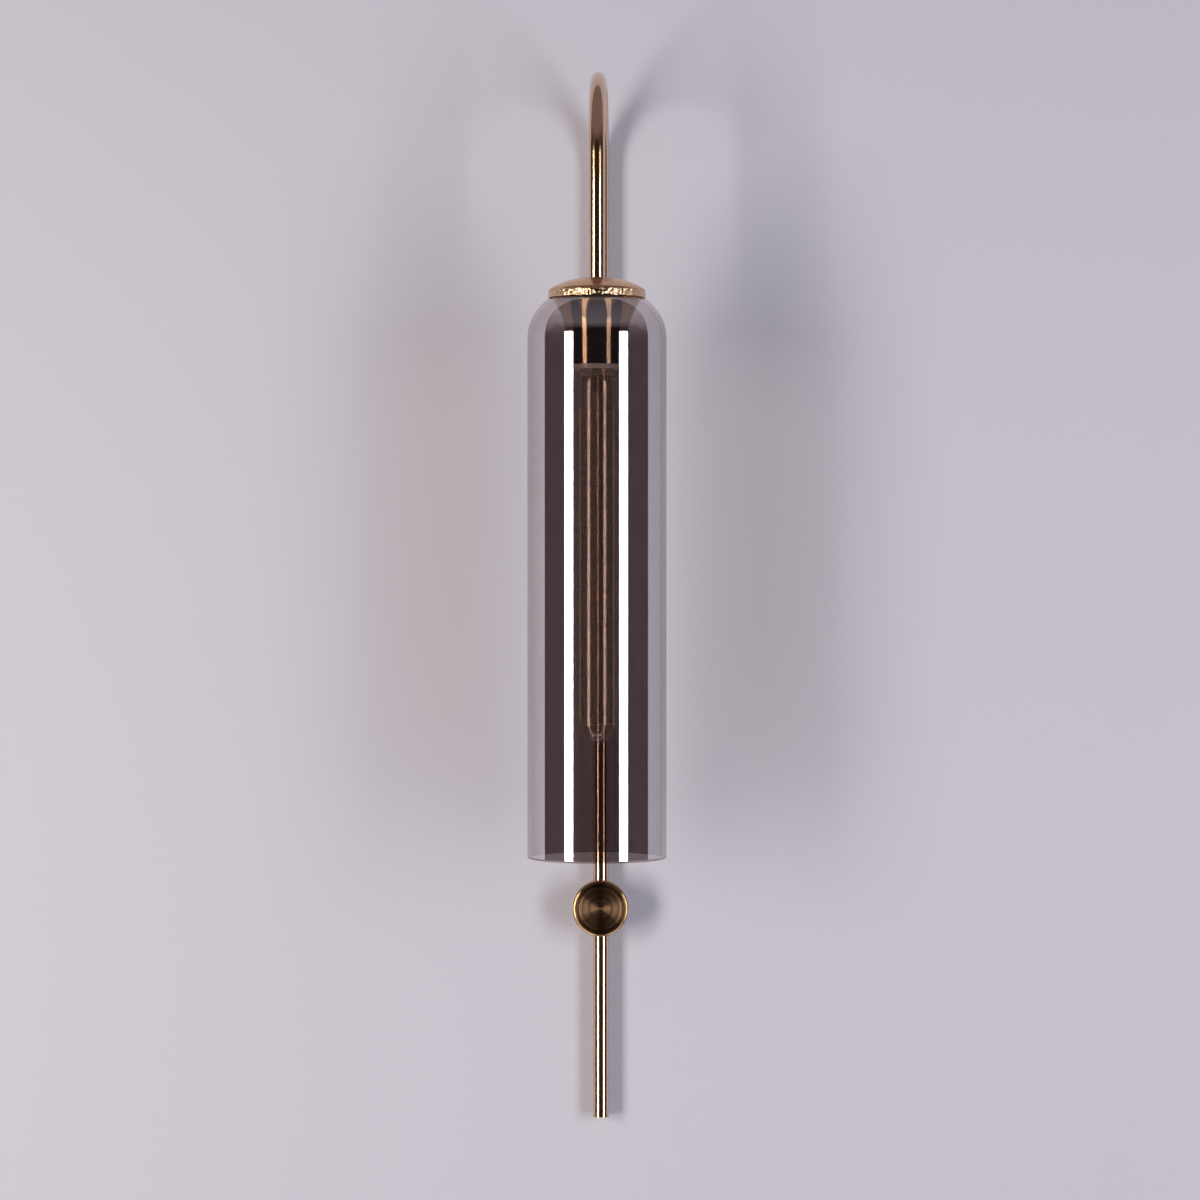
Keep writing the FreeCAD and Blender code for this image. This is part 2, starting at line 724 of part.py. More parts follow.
def filament_supports():
    """Wire arms from the glass rod, each with an eye round one leg, and a hook at the rod's foot."""
    eye_radius = filament_radius + seated_gap + support_radius
    supports = []
    for share in support_height_shares:
        height = filament_top_z - share * (filament_top_z - filament_foot_z)
        for side in (-1, 1):
            root = Vector(side * centre_rod_diameter / 2, 0, height)
            arm = rod_between(root, Vector(side * (leg_x - eye_radius), 0, height), support_radius)
            eye = Part.makeTorus(eye_radius, support_radius, Vector(side * leg_x, 0, height))
            supports.append(arm.fuse(eye))
    rod_foot = Vector(0, 0, filament_foot_z + filament_radius + centre_rod_foot_gap)
    middle = Vector(0, 0, filament_foot_z)
    hook = Part.makeTorus(eye_radius, support_radius, middle, Vector(1, 0, 0))
    hanger = rod_between(rod_foot, middle + Vector(0, 0, eye_radius), support_radius)
    supports.append(hanger.fuse(hook))
    return on_shade_axis(Part.makeCompound(supports))


PIECES = (
    wall_plate, mounting_stud, cable_bush, rod_collar, knob_washer, clamp_knob,
    lamp_arm, arm_end_plug, upper_rest, rest_pad, supply_lead,
    shade_cap, threaded_nipple, cap_nut, clamp_washer, upper_gasket, glass_shade, lower_gasket,
    socket_cup, cup_nut, cup_screw,
    lampholder_body, lampholder_shell, lampholder_contact, terminal_screws,
    bulb_glass, bulb_base, bulb_insulator, bulb_contact, bulb_stem, lead_wires, bulb_filament,
    filament_supports,
)

os.makedirs("parts", exist_ok=True)
for piece in PIECES:
    solid = piece()
    print(piece.__name__, solid.isValid(), len(solid.Solids), round(solid.Volume))
    solid.exportStep("parts/" + piece.__name__ + ".step")
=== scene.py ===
"""Looks of the glass wall light: its finishes, fine details, light, wall and camera.

Metres, +Z up. The wall is the plane Y = 0, the light stands in front of it towards -Y, and the
origin is on the wall, on the axis of the round knob.
"""
import math

import bpy
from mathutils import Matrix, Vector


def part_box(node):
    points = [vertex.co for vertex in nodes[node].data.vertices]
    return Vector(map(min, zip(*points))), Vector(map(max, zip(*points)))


MM = 0.001
QUARTER_TURN = math.pi / 2

# Camera: it stands a little to the right and looks slightly down
CAMERA_PLACE = (0.0600, -2.49945, 0.24962)
CAMERA_YAW = 0.0244
CAMERA_PITCH = -0.0073
CAMERA_NEAREST = 0.05
CAMERA_FARTHEST = 60
SENSOR_WIDTH = 36.0
FRAME_WIDTH_PX = 1200
FOCAL_LENGTH_PX = 3300

# Centre line of the tube, and the axis of the shade and the bulb
ROD_AXIS_Y = -10 * MM
ARCH_RADIUS = 60 * MM
ARCH_CENTRE_HEIGHT = 554 * MM
SHADE_AXIS_Y = ROD_AXIS_Y - 2 * ARCH_RADIUS

# The shade's glass: its wall, the round shoulder under the cap, and the height over which its tint
# grows lighter there
SHADE_WALL = 3 * MM
SHOULDER_RADIUS = 34 * MM
CLEARING_HEIGHT = 22 * MM

# The bulb's glass: its wall, the neck that narrows into the screw cap, and the foot of the pinch
# with the height over which the folds begin
BULB_WALL = 0.9 * MM
NECK_LENGTH = 14.5 * MM
NECK_TOP_DEPTH = 3.5 * MM
NECK_RADIUS = 11.5 * MM
PINCH_DEPTH = 24.5 * MM
PINCH_EDGE = 0.5 * MM

# The cup's flare: how far down from the cup's top its edge stands, its height and its spread
CUP_RADIUS = 22 * MM
CUP_WALL = 1.2 * MM
FLARE_EDGE_DEPTH = 3.27 * MM
FLARE_HEIGHT = 28.8 * MM
FLARE_SPREAD = 9 * MM

# The hammered band at the foot of the cap, and the height over which it begins
BAND_HEIGHT = 5.0 * MM
BAND_EDGE = 0.3 * MM

# The ring painted darker on the knob, a painted shade: its place as a share of the radius, and from
# where to where it fades
RING_PLACE = 0.80
RING_CORE = 0.2 * MM
RING_REACH = 0.9 * MM
PAINTED_RING_SHADE = 0.35

# Depths of the fine reliefs
DRAW_LINE_DEPTH = 0.0006 * MM
GROOVE_DEPTH = 0.015 * MM
SPINNING_DEPTH = 0.003 * MM
HAMMERING_DEPTH = 0.95 * MM
METAL_GRAIN_DEPTH = 0.006 * MM
POLISHED_GRAIN_DEPTH = 0.001 * MM
RUBBER_GRAIN_DEPTH = 0.03 * MM
SHEATH_GRAIN_DEPTH = 0.02 * MM
GLAZE_DEPTH = 0.02 * MM
FOLD_DEPTH = 0.25 * MM
WIRE_GRAIN_DEPTH = 0.02 * MM

# Strength of the mirroring outer films, as the index that gives it, and how far it fades on the dome
LACQUER_INDEX = 2.2
SHADE_MIRROR_INDEX = 6.0
BULB_MIRROR_INDEX = 3.0
STEM_MIRROR_INDEX = 1.9
DOME_MIRROR = 0.55

# Colours. A pair holds the two between which a finish's grain or cloudiness varies.
TUBE_BRASS = ((0.66, 0.39, 0.20), (0.73, 0.45, 0.24))
# The dark shade of this pair paints the sheen of the turning grooves into the colour.
TURNED_BRASS_PAINTED_SHEEN = ((0.17, 0.100, 0.052), (0.66, 0.395, 0.210))
# Paler than the tube's brass: partly a painted highlight on the cap's band.
BAND_BRASS_PAINTED_HIGHLIGHT = (0.80, 0.56, 0.34)
CUP_BRASS = ((0.54, 0.40, 0.23), (0.60, 0.44, 0.26))
SHELL_BRASS = ((0.62, 0.42, 0.20), (0.74, 0.54, 0.28))
ZINC_STEEL = ((0.50, 0.51, 0.53), (0.64, 0.65, 0.67))
BLACK_STEEL = ((0.035, 0.032, 0.030), (0.06, 0.055, 0.05))
BULB_CAP_METAL = ((0.62, 0.60, 0.56), (0.78, 0.75, 0.70))
RUBBER = ((0.012, 0.012, 0.013), (0.030, 0.029, 0.029))
SHEATH = ((0.36, 0.34, 0.31), (0.46, 0.44, 0.41))
PORCELAIN = ((0.76, 0.63, 0.58), (0.86, 0.73, 0.67))
BLACK_GLASS = ((0.010, 0.009, 0.012), (0.022, 0.019, 0.024))
FILAMENT_WIRE = ((0.52, 0.38, 0.27), (0.66, 0.50, 0.38))
DARK_WIRE = ((0.12, 0.10, 0.09), (0.22, 0.19, 0.17))
WALL_PAINT = ((0.570, 0.540, 0.600), (0.582, 0.554, 0.616))
FLOOR_PAINT = ((0.54, 0.53, 0.55), (0.58, 0.57, 0.59))

# Tints of the glass: of the near face, of the faces behind it, and for the light of the lamps
SMOKE = ((0.47, 0.38, 0.37), (0.50, 0.42, 0.41))
SMOKE_ON_DOME = (0.60, 0.53, 0.53)
SMOKE_BEHIND = (0.65, 0.595, 0.59)
SMOKE_BEHIND_DOME = (0.90, 0.87, 0.87)
SMOKE_FOR_LAMPS = (0.83, 0.82, 0.80)
BULB_TINT = ((0.94, 0.86, 0.75), (0.98, 0.92, 0.82))
BULB_FOR_LAMPS = (0.92, 0.88, 0.82)
# The dark shade is painted shade in the pinch's folds.
STEM_TINT_AND_PAINTED_FOLD_SHADE = ((0.94, 0.92, 0.90), (0.16, 0.13, 0.12))
STEM_FOR_LAMPS = (0.90, 0.90, 0.88)
UNTINTED = (1.0, 1.0, 1.0)

# Studio surfaces
WALL_WIDTH = 4.0
WALL_TOP = 0.95
FLOOR_HEIGHT = -1.9
FLOOR_DEPTH = 1.4

# Lamps: two tall strips, a panel that goes on inwards from the foot of each, and a soft fill.
# Powers are in watts.
STRIP_DISTANCE = 2.2
STRIP_WIDTH = 0.56
STRIP_TOP = 0.80
STRIP_FOOT = -0.78
STRIP_AZIMUTH = math.radians(45.5)
LEFT_STRIP_POWER = 38.5
LEFT_STRIP_COLOR = (1.0, 0.95, 0.885)
RIGHT_STRIP_POWER = 24.5
PANEL_WIDTH_SHARE = 0.8
PANEL_END_DISTANCE = 0.5
PANEL_END_HEIGHT = -1.6
LEFT_PANEL_POWER = 12
LEFT_PANEL_COLOR = (1.0, 0.955, 0.90)
RIGHT_PANEL_POWER = 9
COOL_LIGHT = (0.90, 0.93, 1.0)
FILL_PLACE = (1.9, -2.4, 0.5)
FILL_SIZE = 2.4
FILL_POWER = 4.8
FILL_COLOR = (0.87, 0.92, 1.0)

# Room: the colours past the set, towards the camera and of the ceiling, the plain light from all
# sides, and the heights and depths of a direction between which the ceiling rises
PALE_ROOM = (0.575, 0.548, 0.592)
DARK_ROOM = (0.014, 0.010, 0.012)
CEILING = (0.20, 0.165, 0.185)
ROOM_LIGHT_COLOR = (0.91, 0.92, 1.0)
ROOM_LIGHT = 0.2
CEILING_RISE = (0.30, 0.52)
CEILING_RISE_BEHIND = (0.15, 0.45)
BEHIND = (-0.40, -0.05)

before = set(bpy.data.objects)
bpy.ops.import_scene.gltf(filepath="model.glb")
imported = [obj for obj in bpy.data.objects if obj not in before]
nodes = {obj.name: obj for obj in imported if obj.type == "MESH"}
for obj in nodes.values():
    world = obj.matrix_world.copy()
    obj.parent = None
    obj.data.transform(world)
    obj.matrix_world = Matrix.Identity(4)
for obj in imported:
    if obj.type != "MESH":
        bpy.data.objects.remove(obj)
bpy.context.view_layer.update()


class Shader:
    """A node material under construction, with short calls for the nodes that the finishes share."""

    def __init__(self, name):
        self.material = bpy.data.materials.new(name)
        self.material.use_nodes = True
        self.tree = self.material.node_tree
        self.tree.nodes.clear()
        self.output = self.add("ShaderNodeOutputMaterial")
        self.surface = self.add("ShaderNodeBsdfPrincipled")
        self.look = self.surface.outputs["BSDF"]
        self.link(self.look, self.output.inputs["Surface"])

    def add(self, kind, **settings):
        node = self.tree.nodes.new(kind)
        for key, value in settings.items():
            setattr(node, key, value)
        return node

    def link(self, source, target):
        self.tree.links.new(source, target)

    def set(self, **values):
        """Plain values for the surface's own sockets, named with underscores for spaces."""
        for key, value in values.items():
            self.surface.inputs[key.replace("_", " ")].default_value = value

    def feed(self, socket, value):
        if isinstance(value, bpy.types.NodeSocket):
            self.link(value, socket)
        else:
            socket.default_value = (*value, 1.0) if isinstance(value, tuple) else value

    def math(self, operation, first, second=0.0):
        node = self.add("ShaderNodeMath", operation=operation)
        self.feed(node.inputs[0], first)
        self.feed(node.inputs[1], second)
        return node.outputs[0]

    def place(self):
        """The point's X, Y and Z in the part's own frame."""
        coordinates = self.add("ShaderNodeTexCoord")
        split = self.add("ShaderNodeSeparateXYZ")
        self.link(coordinates.outputs["Object"], split.inputs[0])
        return split.outputs

    def vector(self, x=0.0, y=0.0, z=0.0):
        node = self.add("ShaderNodeCombineXYZ")
        for socket, value in zip(node.inputs, (x, y, z)):
            self.feed(socket, value)
        return node.outputs[0]

    def noise(self, vector=None, *, scale, detail, roughness=0.5):
        node = self.add("ShaderNodeTexNoise")
        if vector is None:
            vector = self.add("ShaderNodeTexCoord").outputs["Object"]
        self.link(vector, node.inputs["Vector"])
        node.inputs["Scale"].default_value = scale
        node.inputs["Detail"].default_value = detail
        node.inputs["Roughness"].default_value = roughness
        return node.outputs[0]

    def spread(self, value, low, high, start=0.3, end=0.7, interpolation="LINEAR"):
        """Map a value from start and end to low and high. A noise usually stays within 0.3 to 0.7."""
        node = self.add("ShaderNodeMapRange", interpolation_type=interpolation)
        self.feed(node.inputs["Value"], value)
        node.inputs["From Min"].default_value = start
        node.inputs["From Max"].default_value = end
        node.inputs["To Min"].default_value = low
        node.inputs["To Max"].default_value = high
        return node.outputs[0]

    def blend(self, share, first, second):
        node = self.add("ShaderNodeMix", data_type="RGBA")
        for index, value in ((0, share), (6, first), (7, second)):
            self.feed(node.inputs[index], value)
        return node.outputs[2]

    def color(self, share, first, second):
        self.link(self.blend(share, first, second), self.surface.inputs["Base Color"])

    def roughness(self, value):
        self.link(value, self.surface.inputs["Roughness"])

    def bump(self, height, depth, before=None):
        """Relief of a real depth in metres, over a relief or a normal given before it."""
        node = self.add("ShaderNodeBump")
        node.inputs["Distance"].default_value = depth
        self.link(height, node.inputs["Height"])
        if before is not None:
            self.link(before, node.inputs["Normal"])
        self.link(node.outputs[0], self.surface.inputs["Normal"])
        return node.outputs[0]

    def see_through(self, tint, share):
        """Mix the look so far with plain tinted transparency by the share given."""
        clear = self.add("ShaderNodeBsdfTransparent")
        self.feed(clear.inputs["Color"], tint)
        mix = self.add("ShaderNodeMixShader")
        for socket, source in zip(mix.inputs, (share, self.look, clear.outputs["BSDF"])):
            self.link(source, socket)
        self.look = mix.outputs[0]
        self.link(self.look, self.output.inputs["Surface"])

    def lets_lamps_through(self, tint):
        """Light of the lamps passes each face straight, with a tint."""
        self.see_through(tint, self.add("ShaderNodeLightPath").outputs["Is Shadow Ray"])


def radius_about(shader, first, second):
    """Distance from an axis, given the two coordinates across it."""
    squares = [shader.math("MULTIPLY", value, value) for value in (first, second)]
    return shader.math("SQRT", shader.math("ADD", *squares))


def above(shader, value, level):
    """How far a value is above a level, and nought below it."""
    return shader.math("MAXIMUM", shader.math("SUBTRACT", value, level), 0.0)


def true_normal(shader, x, y, z):
    """The exact normal of a round surface, from its direction in the part's own frame, so that long
    reflections stay straight across the mesh's narrow triangles."""
    unit = shader.add("ShaderNodeVectorMath", operation="NORMALIZE")
    shader.link(shader.vector(x, y, z), unit.inputs[0])
    turn = shader.add("ShaderNodeVectorTransform", vector_type="NORMAL", convert_from="OBJECT",
                      convert_to="WORLD")
    shader.link(unit.outputs[0], turn.inputs[0])
    return turn.outputs[0]


def tube_section(shader):
    """The tube's own coordinates, constant along the rod, round the arch and down the drop: its
    distance across from the plane of the arch and from the arch's centre, and its exact normal."""
    x, y, z = shader.place()
    across = shader.math("SUBTRACT", y, ROD_AXIS_Y - ARCH_RADIUS)
    up = above(shader, z, ARCH_CENTRE_HEIGHT)
    from_centre = radius_about(shader, across, up)
    share = shader.math("DIVIDE", shader.math("SUBTRACT", from_centre, ARCH_RADIUS), from_centre)
    normal = true_normal(shader, x, shader.math("MULTIPLY", across, share),
                         shader.math("MULTIPLY", up, share))
    return shader.vector(x, from_centre), normal


def drawn_brass():
    """Lacquered brass tube with faint draw lines along its length."""
    shader = Shader("drawn_brass")
    shader.set(Metallic=1.0, Coat_Weight=1.0, Coat_IOR=LACQUER_INDEX, Coat_Roughness=0.03)
    section, normal = tube_section(shader)
    lines = shader.noise(section, scale=2600, detail=3)
    clouds = shader.noise(scale=38, detail=5)
    shader.color(clouds, *TUBE_BRASS)
    shader.roughness(shader.spread(clouds, low=0.165, high=0.18))
    shader.bump(lines, DRAW_LINE_DEPTH, before=normal)
    shader.link(normal, shader.surface.inputs["Coat Normal"])
    return shader.material


def turned_brass():
    """Brass turned on a lathe about the Y axis: fine rings on its face and round its side, whose
    light and dark stripes are a painted sheen in the colour, and one ring painted darker near the
    knob's edge as painted shade."""
    shader = Shader("turned_brass")
    shader.set(Metallic=1.0, Anisotropic=1.0, Anisotropic_Rotation=0.25)
    tangent = shader.add("ShaderNodeTangent", direction_type="RADIAL", axis="Y")
    shader.link(tangent.outputs[0], shader.surface.inputs["Tangent"])
    x, y, z = shader.place()
    radius = radius_about(shader, x, z)
    grooves = shader.noise(shader.vector(radius, y), scale=750, detail=4, roughness=0.75)
    low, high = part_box("clamp_knob")
    # A ring of painted shade: the colour is darker round this radius.
    ring_radius = RING_PLACE * (high[0] - low[0]) / 2
    from_ring = shader.math("ABSOLUTE", shader.math("SUBTRACT", radius, ring_radius))
    clear_of_painted_shade_ring = shader.spread(from_ring, PAINTED_RING_SHADE, 1.0, RING_CORE, RING_REACH)
    # Painted sheen: the grooves' rings are painted from dark to bright brass.
    painted_ring_sheen = shader.spread(grooves, 0.0, 1.0, start=0.40, end=0.60)
    shader.color(shader.math("MULTIPLY", painted_ring_sheen, clear_of_painted_shade_ring), *TURNED_BRASS_PAINTED_SHEEN)
    shader.roughness(shader.spread(grooves, low=0.20, high=0.24))
    shader.bump(grooves, GROOVE_DEPTH)
    return shader.material


def spun_brass():
    """The cap: a satin dome with faint spinning lines, and a hammered band round its rim, whose paler
    brass is partly a painted highlight.
    """
    shader = Shader("spun_brass")
    shader.set(Metallic=1.0)
    x, y, z = shader.place()
    radius = radius_about(shader, x, shader.math("SUBTRACT", y, SHADE_AXIS_Y))
    rings = shader.noise(shader.vector(radius, z), scale=1500, detail=4)
    hammering = shader.noise(scale=640, detail=1)
    clouds = shader.noise(scale=45, detail=5)
    band_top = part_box("shade_cap")[0][2] + BAND_HEIGHT
    on_band = shader.spread(z, 1.0, 0.0, band_top - BAND_EDGE, band_top)
    shader.color(on_band, shader.blend(clouds, *TUBE_BRASS), BAND_BRASS_PAINTED_HIGHLIGHT)
    shader.roughness(shader.spread(on_band, low=0.20, high=0.08, start=0.0, end=1.0))
    relief = shader.bump(rings, SPINNING_DEPTH)
    shader.bump(shader.math("MULTIPLY", hammering, on_band), HAMMERING_DEPTH, before=relief)
    return shader.material


def plain_metal(name, colors, low, high, relief=METAL_GRAIN_DEPTH):
    """Plated or bare metal with a fine mottled grain, and its roughness from low to high."""
    shader = Shader(name)
    shader.set(Metallic=1.0)
    mottle = shader.noise(scale=900, detail=5)
    shader.color(mottle, *colors)
    shader.roughness(shader.spread(mottle, low, high))
    shader.bump(mottle, relief)
    return shader.material


def cup_brass():
    """Polished brass, with the exact normal on the cup's outer side and up its flare."""
    shader = Shader("cup_brass")
    shader.set(Metallic=1.0)
    mottle = shader.noise(scale=900, detail=5)
    shader.color(mottle, *CUP_BRASS)
    shader.roughness(shader.spread(mottle, low=0.07, high=0.10))
    x, y, z = shader.place()
    from_axis = shader.math("SUBTRACT", y, SHADE_AXIS_Y)
    radius = radius_about(shader, x, from_axis)
    swing = (FLARE_SPREAD ** 2 + FLARE_HEIGHT ** 2) / (2 * FLARE_SPREAD)
    flare_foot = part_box("socket_cup")[1][2] - FLARE_EDGE_DEPTH - FLARE_HEIGHT
    up = above(shader, z, flare_foot)
    inwards = shader.math("SUBTRACT", CUP_RADIUS + swing, radius)
    share = shader.math("DIVIDE", inwards, radius)
    normal = true_normal(shader, shader.math("MULTIPLY", x, share),
                         shader.math("MULTIPLY", from_axis, share), shader.math("MULTIPLY", up, -1.0))
    from_centre = radius_about(shader, inwards, up)
    outside = shader.math("LESS_THAN", from_centre, swing + CUP_WALL / 2)
    choice = shader.add("ShaderNodeMix", data_type="VECTOR")
    mesh_normal = shader.add("ShaderNodeNewGeometry").outputs["Normal"]
    for index, source in ((0, outside), (4, mesh_normal), (5, normal)):
        shader.link(source, choice.inputs[index])
    shader.link(choice.outputs[1], shader.surface.inputs["Normal"])
    return shader.material


def rubber():
    shader = Shader("black_rubber")
    grain = shader.noise(scale=1400, detail=4)
    shader.color(grain, *RUBBER)
    shader.roughness(shader.spread(grain, low=0.62, high=0.80))
    shader.bump(grain, RUBBER_GRAIN_DEPTH)
    return shader.material


def cable_sheath():
    shader = Shader("cable_sheath")
    grain = shader.noise(scale=700, detail=3)
    shader.color(grain, *SHEATH)
    shader.roughness(shader.spread(grain, low=0.45, high=0.60))
    shader.bump(grain, SHEATH_GRAIN_DEPTH)
    return shader.material


def porcelain():
    """Cream glazed porcelain with a soft orange peel in the glaze."""
    shader = Shader("porcelain")
    shader.set(Coat_Weight=0.6, Coat_Roughness=0.06)
    clouds = shader.noise(scale=160, detail=5)
    shader.color(clouds, *PORCELAIN)
    shader.roughness(shader.spread(clouds, low=0.22, high=0.34))
    shader.bump(shader.noise(scale=420, detail=2), GLAZE_DEPTH)
    return shader.material


def smoked_glass():
    """Brown smoked glass, whose outer face alone is a half mirror; its tint grows lighter and its
    mirror weaker on the dome.
    Its wall is thin and even, so it bends nothing of what is seen through it."""
    shader = Shader("smoked_glass")
    shader.set(Transmission_Weight=1.0, IOR=1.0, Roughness=0.0, Coat_IOR=SHADE_MIRROR_INDEX,
               Coat_Roughness=0.0)
    low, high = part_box("glass_shade")
    ring_radius = (high[0] - low[0]) / 2 - SHOULDER_RADIUS
    ring_height = high[2] - SHOULDER_RADIUS
    x, y, z = shader.place()
    waves = shader.noise(scale=24, detail=2)
    dome = shader.spread(z, 0.0, 1.0, ring_height, ring_height + CLEARING_HEIGHT)
    shader.color(dome, shader.blend(waves, *SMOKE), SMOKE_ON_DOME)
    hidden = shader.math("SUBTRACT", 1.0, shader.add("ShaderNodeLightPath").outputs["Is Camera Ray"])
    shader.see_through(shader.blend(dome, SMOKE_BEHIND, SMOKE_BEHIND_DOME), hidden)
    from_axis = shader.math("SUBTRACT", y, SHADE_AXIS_Y)
    radius = radius_about(shader, x, from_axis)
    beyond_ring = above(shader, radius, ring_radius)
    above_ring = above(shader, z, ring_height)
    from_ring = radius_about(shader, beyond_ring, above_ring)
    outwards = shader.math("DIVIDE", beyond_ring, radius)
    normal = true_normal(shader, shader.math("MULTIPLY", x, outwards),
                         shader.math("MULTIPLY", from_axis, outwards), above_ring)
    shader.link(normal, shader.surface.inputs["Coat Normal"])
    outside = shader.math("GREATER_THAN", from_ring, SHOULDER_RADIUS - SHADE_WALL / 2)
    above_lip = shader.math("GREATER_THAN", z, low[2] + SHADE_WALL / 2)
    mirrored = shader.math("MULTIPLY", outside, above_lip)
    fading = shader.spread(dome, low=1.0, high=DOME_MIRROR, start=0.0, end=1.0)
    shader.link(shader.math("MULTIPLY", mirrored, fading), shader.surface.inputs["Coat Weight"])
    shader.lets_lamps_through(SMOKE_FOR_LAMPS)
    return shader.material


def bulb_glass():
    """Thin clear glass with a faint amber tint, which mirrors the lamps and, like the shade, bends
    nothing of what is seen through it."""
    shader = Shader("bulb_glass")
    shader.set(Transmission_Weight=0.97, IOR=1.0, Roughness=0.0, Coat_IOR=BULB_MIRROR_INDEX,
               Coat_Roughness=0.0)
    low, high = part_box("bulb_glass")
    bulb_radius = (high[0] - low[0]) / 2
    x, y, z = shader.place()
    waves = shader.noise(scale=60, detail=2)
    shader.color(waves, *BULB_TINT)
    radius = radius_about(shader, x, shader.math("SUBTRACT", y, SHADE_AXIS_Y))
    below_bend = above(shader, shader.math("MULTIPLY", z, -1.0), -(low[2] + bulb_radius))
    from_middle = radius_about(shader, radius, below_bend)
    neck_top = high[2] - NECK_TOP_DEPTH
    outer = shader.spread(z, bulb_radius, NECK_RADIUS, neck_top - NECK_LENGTH, neck_top, "SMOOTHSTEP")
    inner = shader.math("SUBTRACT", outer, BULB_WALL / 2)
    shader.link(shader.math("GREATER_THAN", from_middle, inner), shader.surface.inputs["Coat Weight"])
    shader.lets_lamps_through(BULB_FOR_LAMPS)
    return shader.material


def stem_glass():
    """Clear lead glass with folds where it is pressed round the wires; there its tint turns dark, a
    painted shade for the light that the folds would bend.
    """
    shader = Shader("stem_glass")
    shader.set(Transmission_Weight=1.0, IOR=1.0, Roughness=0.0, Coat_Weight=1.0,
               Coat_IOR=STEM_MIRROR_INDEX, Coat_Roughness=0.03)
    height = shader.place()[2]
    folds = shader.noise(scale=620, detail=3)
    pinch_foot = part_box("bulb_stem")[1][2] - PINCH_DEPTH
    pinched = shader.spread(height, 0.0, 1.0, pinch_foot - PINCH_EDGE, pinch_foot)
    folds_with_painted_shade = shader.math("MULTIPLY", folds, pinched)
    relief = shader.add("ShaderNodeBump")
    relief.inputs["Distance"].default_value = FOLD_DEPTH
    shader.link(folds_with_painted_shade, relief.inputs["Height"])
    shader.link(relief.outputs[0], shader.surface.inputs["Coat Normal"])
    # Painted shade: the folds darken the tint, since this glass bends no light.
    shader.color(shader.spread(folds_with_painted_shade, 0.0, 1.0, start=0.40, end=0.60), *STEM_TINT_AND_PAINTED_FOLD_SHADE)
    shader.lets_lamps_through(STEM_FOR_LAMPS)
    return shader.material


def black_glass():
    shader = Shader("black_glass")
    cloud = shader.noise(scale=260, detail=3)
    shader.color(cloud, *BLACK_GLASS)
    shader.roughness(shader.spread(cloud, low=0.06, high=0.14))
    return shader.material


def fine_wire(name, colors):
    shader = Shader(name)
    shader.set(Metallic=1.0)
    grain = shader.noise(scale=2400, detail=3)
    shader.color(grain, *colors)
    shader.roughness(shader.spread(grain, low=0.35, high=0.55))
    shader.bump(grain, WIRE_GRAIN_DEPTH)
    return shader.material


def dress(material, *names):
    for name in names:
        mesh = nodes[name].data
        mesh.materials.clear()
        mesh.materials.append(material)


def finishes():
    dress(drawn_brass(), "lamp_arm")
    dress(plain_metal("plain_brass", TUBE_BRASS, low=0.16, high=0.20, relief=POLISHED_GRAIN_DEPTH),
          "arm_end_plug", "upper_rest")
    dress(turned_brass(), "clamp_knob", "rod_collar", "knob_washer")
    dress(spun_brass(), "shade_cap")
    dress(cup_brass(), "socket_cup")
    dress(plain_metal("shell_brass", SHELL_BRASS, low=0.20, high=0.30),
          "lampholder_shell", "lampholder_contact", "terminal_screws", "threaded_nipple")
    dress(plain_metal("zinc_steel", ZINC_STEEL, low=0.26, high=0.40),
          "wall_plate", "mounting_stud", "cap_nut", "clamp_washer", "cup_nut")
    dress(plain_metal("black_steel", BLACK_STEEL, low=0.35, high=0.50), "cup_screw")
    dress(plain_metal("bulb_cap_metal", BULB_CAP_METAL, low=0.18, high=0.30),
          "bulb_base", "bulb_contact")
    dress(rubber(), "upper_gasket", "lower_gasket", "cable_bush", "rest_pad")
    dress(cable_sheath(), "supply_lead")
    dress(porcelain(), "lampholder_body")
    dress(smoked_glass(), "glass_shade")
    dress(bulb_glass(), "bulb_glass")
    dress(stem_glass(), "bulb_stem")
    dress(black_glass(), "bulb_insulator")
    dress(fine_wire("filament_wire", FILAMENT_WIRE), "bulb_filament")
    dress(fine_wire("dark_wire", DARK_WIRE), "lead_wires", "filament_supports")


def link(name, data):
    thing = bpy.data.objects.new(name, data)
    bpy.context.scene.collection.objects.link(thing)
    return thing


def plane(name, corners, material):
    mesh = bpy.data.meshes.new(name)
    mesh.from_pydata(corners, [], [range(len(corners))])
    mesh.materials.append(material)
    return link(name, mesh)


def paint(name, colors, one_sided=False):
    """Matt paint with a faint cloudiness, seen only from its front where it is one-sided."""
    shader = Shader(name)
    shader.color(shader.noise(scale=0.8, detail=3), *colors)
    shader.set(Roughness=0.9, Specular_IOR_Level=0.1)
    if one_sided:
        shader.see_through(UNTINTED, shader.add("ShaderNodeNewGeometry").outputs["Backfacing"])
    return shader.material


def studio_surfaces():
    half = WALL_WIDTH / 2
    wall = plane("wall_backdrop", [(-half, 0, FLOOR_HEIGHT), (half, 0, FLOOR_HEIGHT),
                                   (half, 0, WALL_TOP), (-half, 0, WALL_TOP)],
                 paint("wall_paint", WALL_PAINT, one_sided=True))
    floor = plane("floor", [(-half, -FLOOR_DEPTH, FLOOR_HEIGHT), (half, -FLOOR_DEPTH, FLOOR_HEIGHT),
                            (half, 0, FLOOR_HEIGHT), (-half, 0, FLOOR_HEIGHT)],
                  paint("floor_paint", FLOOR_PAINT))


def area_lamp(name, width, height, power, color):
    data = bpy.data.lights.new(name, "AREA")
    data.shape = "RECTANGLE"
    data.size = width
    data.size_y = height
    data.energy = power
    data.color = color
    return link(name, data)


def around_shade(distance, height, turn):
    """The place at a distance from the shade's axis, in the direction that the turn gives."""
    return distance * math.sin(turn), SHADE_AXIS_Y - distance * math.cos(turn), height


